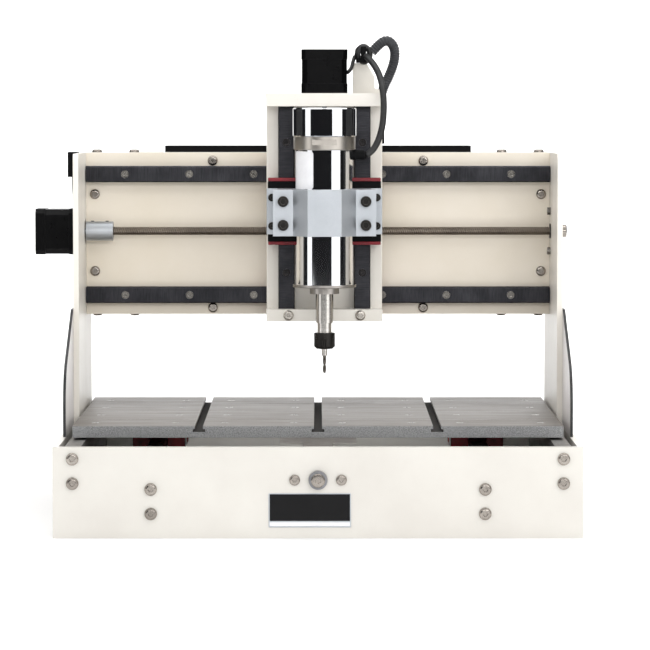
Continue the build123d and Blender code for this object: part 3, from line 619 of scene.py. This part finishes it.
def carriage_outline(half, height, inset, groove):
    """The block's cross-section, open below for the rail."""
    w, h = half - inset, height - inset
    side = [(RAIL_CHANNEL, RAIL_ROOF), (RAIL_CHANNEL, inset), (w - 0.6 * MM, inset), (w, inset + 0.6 * MM)]
    if groove:
        low, high, deep = h * 0.34, h * 0.56, 0.8 * MM
        side += [(w, low), (w - deep, low + deep), (w - deep, high), (w, high + deep)]
    side += [(w, h - 1.3 * MM), (w - 1.3 * MM, h)]
    return side + [(-a, b) for a, b in reversed(side)]


def carriage(name, low, high, along, up, sign, body):
    """A ball carriage in a box: steel block, black end caps and red seals, along one axis."""
    across = 3 - along - up
    w, u, v = AXES[along], AXES[across], AXES[up] * sign
    centre = (low + high) / 2
    origin = centre.copy()
    origin[along] = low[along]
    origin[up] = low[up] if sign > 0 else high[up]
    half = (high[across] - low[across]) / 2
    height = high[up] - low[up]
    length = high[along] - low[along]
    spans = [
        ("seal_a", 0, SEAL_T, 0.3 * MM, seal, False),
        ("cap_a", SEAL_T, CAP_T, 0.0, end_plastic, False),
        ("block", SEAL_T + CAP_T, length - 2 * (SEAL_T + CAP_T), 0.35 * MM, block_steel, True),
        ("cap_b", length - SEAL_T - CAP_T, CAP_T, 0.0, end_plastic, False),
        ("seal_b", length - SEAL_T, SEAL_T, 0.3 * MM, seal, False),
    ]
    made = []
    for part, start, size, inset, material, groove in spans:
        outline = carriage_outline(half, height, inset, groove)
        obj = prism(f"{name}_{part}", outline, origin + w * start, u, v, w, size, 0.35 * MM)
        made.append(place(obj, body, "carriage", material))
    return made


def split_span(low, high, axis, size):
    """The two end blocks of a box that holds two, each of a size along an axis."""
    first_high, second_low = high.copy(), low.copy()
    first_high[axis] = low[axis] + size
    second_low[axis] = high[axis] - size
    return [(low.copy(), first_high), (second_low, high.copy())]


def carriages(node, body, along, up, sign, *splits):
    """All the carriages in a CAD node's box, which is split in two along each axis given.

    Each is numbered by its half along each of those axes, 0 for the lower and 1 for the upper.
    """
    boxes = [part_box(node)]
    for axis, size in splits:
        boxes = [half for low, high in boxes for half in split_span(low, high, axis, size * MM)]
    made = []
    for k, (low, high) in enumerate(boxes):
        name = f"{node[:-1]}_{k:0{len(splits)}b}"
        made += carriage(name, low, high, along, up, sign, body)
    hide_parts(node)


carriages("z_carriages", "z_slide", 2, 1, -1, (0, 34))
carriages("x_carriages", "cross_slide", 0, 1, -1, (2, 34), (0, 50))
carriages("y_carriages", "table", 1, 2, 1, (0, 47), (1, 60))


# ---------------------------------------------------------------- drive screws
SCREW_R = 4 * MM
X_NUT_REACH = 4.7 * MM
Y_NUT_REACH = 3.2 * MM


def threaded_rod(name, origin, axis, length, radius, lead=8 * MM, starts=4, step=0.5 * MM, sides=24):
    """A rolled trapezoidal thread, as a helical surface."""
    depth = 0.75 * MM
    count = round(length / step)
    rings = [(0.0, radius - depth)]

    def thread(along):
        def radius_at(angle):
            phase = (starts * (along / lead - angle / (2 * math.pi))) % 1
            flank = min(1, max(0, abs(phase - 0.5) * 5 - 0.6))
            return radius - depth * flank

        return radius_at

    rings += [(length * (k + 0.5) / count, thread(length * (k + 0.5) / count)) for k in range(count)]
    rings.append((length, radius - depth))
    return lathe(name, rings, origin, axis, sides, 80)


def end_nut(name, origin, axis, reach, radius=5.9 * MM):
    """A turned lock nut with a chamfer and a hexagon socket in its outer face."""
    socket = hexagon(4.2 * MM)
    rings = [
        (0.1 * MM, radius - 0.4 * MM),
        (0.5 * MM, radius),
        (reach - 0.9 * MM, radius),
        (reach - 0.1 * MM, radius - 0.8 * MM),
        (reach, radius - 1.6 * MM),
        (reach, lambda a: socket(a) + 0.2 * MM),
        (reach - 1.8 * MM, socket),
    ]
    return lathe(name, rings, origin, axis, 48, 30)


def mid(node):
    """The centre of a node's box."""
    low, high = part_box(node)
    return (low + high) / 2


low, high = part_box("x_leadscrew")
centre = mid("x_leadscrew")
rod = threaded_rod("x_thread", Vector((low.x, centre.y, centre.z)), X, high.x - low.x - 0.5 * MM, SCREW_R)
place(rod, "x_screw", "leadscrew_steel", thread_metal, "x_leadscrew")
nut = end_nut("x_lock_nut", Vector((high.x - X_NUT_REACH, centre.y, centre.z)), X, X_NUT_REACH)
place(nut, "x_screw", "screw_steel", screw_metal)

low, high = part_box("y_leadscrew")
centre = mid("y_leadscrew")
rod = threaded_rod("y_thread", Vector((centre.x, high.y, centre.z)), -Y, high.y - low.y - 2 * MM, SCREW_R)
place(rod, "y_screw", "leadscrew_steel", thread_metal, "y_leadscrew")
nut = end_nut("y_lock_nut", Vector((centre.x, low.y + Y_NUT_REACH, centre.z)), -Y, Y_NUT_REACH)
place(nut, "y_screw", "screw_steel", screw_metal)

low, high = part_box("z_leadscrew")
centre = mid("z_leadscrew")
rod = threaded_rod("z_thread", Vector((centre.x, centre.y, low.z)), Z, high.z - low.z, SCREW_R)
place(rod, "z_screw", "leadscrew_steel", thread_metal, "z_leadscrew")

# ---------------------------------------------------------------- tool and collet nut
low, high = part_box("end_mill")
TOOL_R = (high.x - low.x) / 2
FLUTE = 15 * MM


def flute(along):
    """Two helical flutes that run out towards the shank."""
    depth = 0.42 * min(1, max(0, (FLUTE - along) / (3 * MM)))

    def radius_at(angle):
        turn = 0.5 + 0.5 * math.cos(2 * (angle - along / MM * 0.42))
        return TOOL_R * (1 - depth * turn**1.5)

    return radius_at


rings = [(0.0, lambda a: flute(0)(a) * 0.55), (0.25 * MM, flute(0.25 * MM))]
rings += [(k * 0.3 * MM, flute(k * 0.3 * MM)) for k in range(2, 52)]
rings += [(high.z - low.z, TOOL_R)]
tool = lathe("router_bit", rings, Vector((AXIS_X, AXIS_Y, low.z)), Z, 32, 40)
place(tool, "spindle_rotor", "carbide", carbide, "end_mill")

low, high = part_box("collet_nut")
NUT_R = (high.x - low.x) / 2


def slotted(angle):
    """The nut's rim, with six wrench slots."""
    return NUT_R * (0.87 if abs(math.degrees(angle) % 60 - 30) < 10 else 1)


nut_rings = [
    (0.0, 3.0 * MM),
    (0.0, NUT_R - 2.2 * MM),
    (1.2 * MM, NUT_R - 1.2 * MM),
    (2.0 * MM, slotted),
    (9.2 * MM, slotted),
    (9.6 * MM, NUT_R),
    (13.9 * MM, NUT_R),
    (14.6 * MM, NUT_R - 0.8 * MM),
    (14.6 * MM, 4.6 * MM),
]
nut = lathe("collet_nut_slotted", nut_rings, Vector((AXIS_X, AXIS_Y, low.z)), Z, 72, 30)
place(nut, "spindle_rotor", "dark_steel", oxide, "collet_nut")


# ---------------------------------------------------------------- labels
def wrapped_patch(name, radius, thick, start, end, z_low, z_high, corner=1.5 * MM):
    """A thin film on the spindle tube, between two angles from the front, with round corners."""
    columns, rows = 28, 20
    outer, inner = [], []
    for k in range(rows + 1):
        z = z_low + (z_high - z_low) * k / rows
        gap = min(z - z_low, z_high - z)
        pull = corner - math.sqrt(max(0, corner**2 - (corner - gap) ** 2)) if gap < corner else 0
        a0, a1 = start + pull / radius, end - pull / radius
        for i in range(columns + 1):
            angle = a0 + (a1 - a0) * i / columns
            for ring, r in ((outer, radius + thick), (inner, radius)):
                ring.append(Vector((AXIS_X + r * math.sin(angle), AXIS_Y - r * math.cos(angle), z)))
    n, across = len(outer), columns + 1
    faces = []
    for k in range(rows):
        for i in range(columns):
            a = k * across + i
            faces.append((a, a + 1, a + across + 1, a + across))
            faces.append((a + n, a + across + n, a + across + 1 + n, a + 1 + n))
    rim = list(range(across))
    rim += [k * across + columns for k in range(1, rows + 1)]
    rim += [rows * across + i for i in range(columns - 1, -1, -1)]
    rim += [k * across for k in range(rows - 1, 0, -1)]
    for here, after in zip(rim, rim[1:] + rim[:1]):
        faces.append((here, here + n, after + n, after))
    obj = new_object(name, outer + inner, faces, 40)
    recalculate(obj)
    return obj


STICKER_R = 26.05 * MM
STICKER_T = 0.12 * MM
STICKER_SIDES = (math.radians(-98), math.radians(-23))
cap_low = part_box("spindle_top_cap")[0].z
sticker = wrapped_patch(
    "blank_sticker", STICKER_R, STICKER_T, *STICKER_SIDES, cap_low - 34.9 * MM, cap_low - 1 * MM
)
place(sticker, "z_slide", "nameplate_sheet", label_white)


def round_rect(w, h, r, steps=6):
    """Outline of a rectangle with round corners, centred on zero."""
    corners = (
        (w / 2 - r, h / 2 - r, 0),
        (-w / 2 + r, h / 2 - r, 90),
        (-w / 2 + r, -h / 2 + r, 180),
        (w / 2 - r, -h / 2 + r, 270),
    )
    outline = []
    for x, y, start in corners:
        for k in range(steps + 1):
            angle = math.radians(start + 90 * k / steps)
            outline.append((x + r * math.cos(angle), y + r * math.sin(angle)))
    return outline


low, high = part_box("nameplate")
WIDTH, HEIGHT = high.x - low.x, high.z - low.z
PLATE_T = 0.6 * MM
FILM_T = 0.3 * MM
centre = mid("nameplate")
back = Vector((centre.x, high.y, centre.z))


def nameplate_layer(name, width, height, corner, rise, front, thick, bevel, material, *replaced):
    """A flat layer of the nameplate, at a height above its centre and in front of its back."""
    outline = round_rect(width, height, corner)
    layer = prism(name, outline, back + Z * rise - Y * front, X, Z, -Y, thick, bevel)
    place(layer, "base", "nameplate_sheet", material, *replaced)


nameplate_layer("nameplate_plate", WIDTH, HEIGHT, 0.8 * MM, 0, 0, PLATE_T, 0.15 * MM, anodised, "nameplate")
nameplate_layer(
    "nameplate_field", WIDTH - 2 * MM, HEIGHT - 6.4 * MM, 0.4 * MM,
    2.4 * MM, PLATE_T, FILM_T, 0.08 * MM, plate_black,
)
nameplate_layer(
    "nameplate_strip", WIDTH - 2 * MM, 3.2 * MM, 0.3 * MM,
    -11.8 * MM, PLATE_T, FILM_T, 0.08 * MM, label_white,
)


# ---------------------------------------------------------------- couplings, motors
COUPLING_R = 8.9 * MM
SET_SCREW_R = 1.6 * MM
MOTOR_SCREW_OFFSET = 15.5 * MM
COUPLINGS = (
    ("x_coupling", 0, "x_screw", 25),
    ("y_coupling", 1, "y_screw", 24),
    ("z_coupling", 2, "z_screw", 22),
)
MOTORS = (("x_motor", 0, -1, "base"), ("y_motor", 1, 1, "base"), ("z_motor", 2, 1, "cross_slide"))


def set_screw(name, centre, axis, body):
    """A small screw with a hexagon socket, in the side of a coupling."""
    socket = hexagon(SET_SCREW_R * 1.05)
    rings = [
        (-0.6 * MM, SET_SCREW_R),
        (0.35 * MM, SET_SCREW_R),
        (0.6 * MM, SET_SCREW_R - 0.25 * MM),
        (0.6 * MM, lambda a: socket(a) + 0.1 * MM),
        (-0.4 * MM, socket),
    ]
    place(lathe(name, rings, centre, axis, 36, 30), body, "dark_steel", oxide)


def motor_screw(name, centre, axis, body):
    """A screw in a motor's end cap, sunk flush."""
    socket = hexagon(1.9 * MM)
    rings = [
        (-1.2 * MM, 2.7 * MM),
        (-0.25 * MM, 2.7 * MM),
        (-0.02 * MM, 2.4 * MM),
        (-0.02 * MM, lambda a: socket(a) + 0.1 * MM),
        (-0.9 * MM, socket),
    ]
    place(lathe(name, rings, centre, axis, 36, 30), body, "dark_steel", oxide)


for node, along, body, sleeve_length in COUPLINGS:
    low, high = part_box(node)
    sleeve = sleeve_length * MM
    middle = high[along] - sleeve / 2 if along == 0 else low[along] + sleeve / 2
    out = Z if along < 2 else -Y
    for label, share in (("a", -0.27), ("b", 0.27)):
        spot = (low + high) / 2
        spot[along] = middle + share * sleeve
        set_screw(f"{node}_screw_{label}", spot + out * COUPLING_R, out, body)

for node, axis, sign, body in MOTORS:
    low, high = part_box(node)
    centre = (low + high) / 2
    centre[axis] = low[axis] if sign < 0 else high[axis]
    u, v = [AXES[i] for i in range(3) if i != axis]
    for i, (a, b) in enumerate(((-1, -1), (-1, 1), (1, -1), (1, 1))):
        spot = centre + (u * a + v * b) * MOTOR_SCREW_OFFSET
        motor_screw(f"{node}_screw_{i}", spot, AXES[axis] * sign, body)

# ---------------------------------------------------------------- cables
SPINDLE_ROUTE = [
    (43.9, 7, 325), (49, 8, 328), (54.5, 11, 337), (58.5, 15, 350), (60, 20, 366),
    (59.5, 28, 382), (57, 40, 396), (52, 51, 406.5), (46.5, 60, 413), (44.5, 68.7, 415),
]
MOTOR_ROUTE = [(27.1, 60, 400), (29.5, 64, 402), (31.5, 70, 406), (32.5, 74, 411), (34, 78, 415)]
CONDUIT_ROUTE = [
    (50, 79, 419), (56, 80, 426), (64, 82, 431), (71, 86, 424.5), (71.5, 89, 412.5),
    (67, 91, 399), (60, 92, 385), (56, 92.5, 368), (54, 92.5, 350),
]
SIDE_ROUTE = [
    (-227, 84, 304), (-227.1, 85, 297), (-227.1, 88, 289), (-226.8, 92, 282), (-226.5, 95, 274.15),
]

line = nurbs_points(SPINDLE_ROUTE)
cable, points, length = tube("spindle_lead", line, lambda s: 2.95 * MM, 1.2 * MM)
cable.data.materials.append(jacket)
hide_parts("spindle_cable")
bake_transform(cable)


def corrugated(s):
    """Conduit ribs, 2.3 mm apart."""
    wave = 0.5 + 0.5 * math.cos(2 * math.pi * s / (2.3 * MM))
    return (4.05 + 0.6 * min(1, wave * 1.6)) * MM


line = nurbs_points(CONDUIT_ROUTE)
conduit, points, length = tube("corrugated_conduit", line, corrugated, 0.38 * MM, 28)
place(conduit, "cross_slide", "cable_jacket", conduit_jacket, "cable_conduit")

line = nurbs_points(MOTOR_ROUTE)
lead, points, length = tube("z_motor_lead", line, lambda s: 1.72 * MM, 0.8 * MM, 18)
place(lead, "cross_slide", "cable_jacket", jacket, "z_motor_cable")

line = nurbs_points(SIDE_ROUTE)
lead, points, length = tube("x_motor_lead", line, lambda s: 1.48 * MM, 0.8 * MM, 18)
place(lead, "base", "cable_jacket", jacket, "x_motor_cable")

# A bundle of spare lead, wound up and tied, on top of the bracket
low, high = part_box("cable_clips")
KNOT = Vector((0.042, 0.078, low.z + 0.083))
TURNS = 5
POINTS_PER_TURN = 60
random.seed(5)


def bundle_turn(k):
    """One loose loop of the bundle, about the knot."""
    spread = Matrix.Rotation(math.radians(-38 + 19 * k), 3, "Z")
    tilt = spread @ Matrix.Rotation(math.radians(random.uniform(60, 115)), 3, "X")
    size = random.uniform(6.2, 7.0) * MM
    shift = Vector((random.uniform(-0.6, 0.6), random.uniform(-0.8, 0.8), random.uniform(-0.5, 0.5))) * MM
    ring = []
    for i in range(POINTS_PER_TURN):
        angle = 2 * math.pi * i / POINTS_PER_TURN
        wobble = 1 + 0.06 * math.sin(3 * angle + k)
        flat = Vector((math.cos(angle) * size * wobble, math.sin(angle) * size * 1.12, 0))
        ring.append(KNOT + shift + tilt @ flat)
    return ring


def closed_tube(name, ring, radius, sides=14):
    """A tube along a closed ring of points."""
    n = len(ring)
    verts, faces = [], []
    centre = sum(ring, Vector()) / n
    normal = (ring[0] - centre).cross(ring[n // 4] - centre).normalized()
    for k, p in enumerate(ring):
        tangent = (ring[(k + 1) % n] - ring[k - 1]).normalized()
        u = tangent.cross(normal).normalized()
        v = tangent.cross(u)
        for i in range(sides):
            angle = 2 * math.pi * i / sides
            verts.append(p + (u * math.cos(angle) + v * math.sin(angle)) * radius)
    for k in range(n):
        a, b = k * sides, ((k + 1) % n) * sides
        faces += [(a + i, a + (i + 1) % sides, b + (i + 1) % sides, b + i) for i in range(sides)]
    return new_object(name, verts, faces, 60)


turns = [bundle_turn(k) for k in range(TURNS)]
for k, ring in enumerate(turns):
    obj = closed_tube(f"lead_turn_{k}", ring, 2.1 * MM)
    place(obj, "cross_slide", "cable_jacket", jacket, *(["cable_clips"] if k == 0 else []))


def plastic_block(name, corner, opposite, radius, bevel):
    """A black plastic block between two corners, with its upright edges rounded."""
    size = opposite - corner
    outline = round_rect(size.x, size.y, radius, 5)
    origin = Vector(((corner.x + opposite.x) / 2, (corner.y + opposite.y) / 2, corner.z))
    obj = prism(name, outline, origin, X, Y, Z, size.z, bevel)
    place(obj, "cross_slide", "black_plastic", black_plastic)


saddle = (Vector((0.0352, 0.0712, KNOT.z - 0.0078)), Vector((0.0488, 0.0848, KNOT.z - 0.004)))
band = (Vector((0.0395, 0.0705, KNOT.z - 0.0075)), Vector((0.0445, 0.0725, KNOT.z + 0.0072)))
clip = (
    Vector((0.0463, low.y + 0.0143, low.z + 0.0003)),
    Vector((0.0617, high.y - 0.0003, low.z + 0.0157)),
)
plastic_block("tie_saddle", *saddle, 2 * MM, 0.5 * MM)
plastic_block("tie_band", *band, 0.6 * MM, 0.3 * MM)
plastic_block("lower_clip", *clip, 3 * MM, 0.8 * MM)

# ---------------------------------------------------------------- floor and light
FLOOR_HALF_WIDTH = 3.2
FLOOR_FRONT = -3.0
BEND_START = 4.8
BEND_R = 1.2
BACKDROP_TOP = 3.6


def studio_floor():
    """Pale floor that curves up into a backdrop well behind the machine."""
    profile = [(FLOOR_FRONT, 0.0), (BEND_START, 0.0)]
    for degrees in range(6, 91, 6):
        angle = math.radians(degrees)
        profile.append((BEND_START + BEND_R * math.sin(angle), BEND_R - BEND_R * math.cos(angle)))
    profile.append((BEND_START + BEND_R, BACKDROP_TOP))
    verts = [Vector((x, y, z)) for y, z in profile for x in (-FLOOR_HALF_WIDTH, FLOOR_HALF_WIDTH)]
    faces = [(2 * k, 2 * k + 1, 2 * k + 3, 2 * k + 2) for k in range(len(profile) - 1)]
    obj = new_object("studio_floor", verts, faces, 60)
    f = Finish("studio_paper")
    colour = f.mix(f.remap(f.noise(400, 2), 0, 1), (0.92, 0.92, 0.92, 1), (0.9, 0.9, 0.9, 1))
    obj.data.materials.append(f.done(colour, 0.75))


def around(azimuth, distance, height):
    """A point at an azimuth from the front, to the right for positive angles."""
    a = math.radians(azimuth)
    return (distance * math.sin(a), -distance * math.cos(a), height)


def black_board(name, azimuth):
    """Black board beside the machine, seen only in reflections."""
    a = math.radians(azimuth)
    centre = Vector(around(azimuth, 1.3, 0.36))
    along = Vector((math.cos(a), math.sin(a), 0)) * 0.42
    up = Z * 0.34
    corners = [centre - along - up, centre + along - up, centre + along + up, centre - along + up]
    obj = new_object(name, corners, [(0, 1, 2, 3)], 60)
    f = Finish(name + "_cloth")
    weave = f.remap(f.noise(20, 2), 0, 1)
    colour = f.mix(weave, (0.010, 0.010, 0.010, 1), (0.016, 0.016, 0.016, 1))
    obj.data.materials.append(f.done(colour, 0.9))
    obj.visible_camera = False
    obj.visible_diffuse = False
    obj.visible_shadow = False


def area_light(name, location, target, size, watts):
    data = bpy.data.lights.new(name, "AREA")
    data.shape = "RECTANGLE"
    data.size, data.size_y = size
    data.energy = watts
    obj = bpy.data.objects.new(name, data)
    bpy.context.scene.collection.objects.link(obj)
    obj.location = location
    obj.rotation_euler = (Vector(target) - Vector(location)).to_track_quat("-Z", "Y").to_euler()
    obj.visible_camera = False
    return obj


WORLD_STRENGTH = 0.38
WORLD_COLOUR = (1.0, 1.0, 1.0, 1)
IN_REFLECTIONS = (0.03, 0.03, 0.033, 1)
TO_CAMERA = (2.75, 2.75, 2.75, 1)


def studio_world():
    """Soft light from all round, dark in reflections and white to the camera past the floor's edges."""
    world = bpy.data.worlds.new("studio")
    bpy.context.scene.world = world
    world.use_nodes = True
    tree = world.node_tree
    background = tree.nodes["Background"]
    path = tree.nodes.new("ShaderNodeLightPath")

    def switch(ray, otherwise, colour):
        node = tree.nodes.new("ShaderNodeMix")
        node.data_type = "RGBA"
        tree.links.new(path.outputs[ray], node.inputs["Factor"])
        if isinstance(otherwise, tuple):
            node.inputs[6].default_value = otherwise
        else:
            tree.links.new(otherwise, node.inputs[6])
        node.inputs[7].default_value = colour
        return node.outputs[2]

    dim = switch("Is Glossy Ray", WORLD_COLOUR, IN_REFLECTIONS)
    seen = switch("Is Camera Ray", dim, TO_CAMERA)
    tree.links.new(seen, background.inputs["Color"])
    background.inputs["Strength"].default_value = WORLD_STRENGTH


studio_floor()
black_board("right_flag", 101)
black_board("left_flag", -104)

MACHINE = (0, 0, 0.3)
area_light("overhead", (0, -0.4, 2.2), (0, 0.1, 0), (2.6, 2.2), 19)
area_light("right_box", around(47, 1.4, 0.62), MACHINE, (1.0, 1.5), 6.5)
area_light("left_strip", around(-62, 1.4, 0.62), MACHINE, (0.55, 1.5), 3.2)
area_light("front_fill", (0.3, -3.4, 1.05), (0, 0, 0.25), (2.6, 0.7), 30)
area_light("rear_wash", (0, 2.9, 2.6), (0, 5.0, 0.3), (5.0, 2.4), 210)
for side in (-1, 1):
    area_light("side_wash", (side * 2.9, 0.4, 2.0), (side * 3.0, 0.4, 0), (1.4, 5.6), 42)
area_light("front_wash", (0, -2.6, 2.2), (0, -2.8, 0), (4.4, 1.2), 26)

# A small lamp inside the base, which lights the back panel under the table
inner = area_light("base_fill", (0, 0, 0.05), (0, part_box("back_panel")[0].y, 0.04), (0.36, 0.03), 0.2)
inner.visible_glossy = False

studio_world()
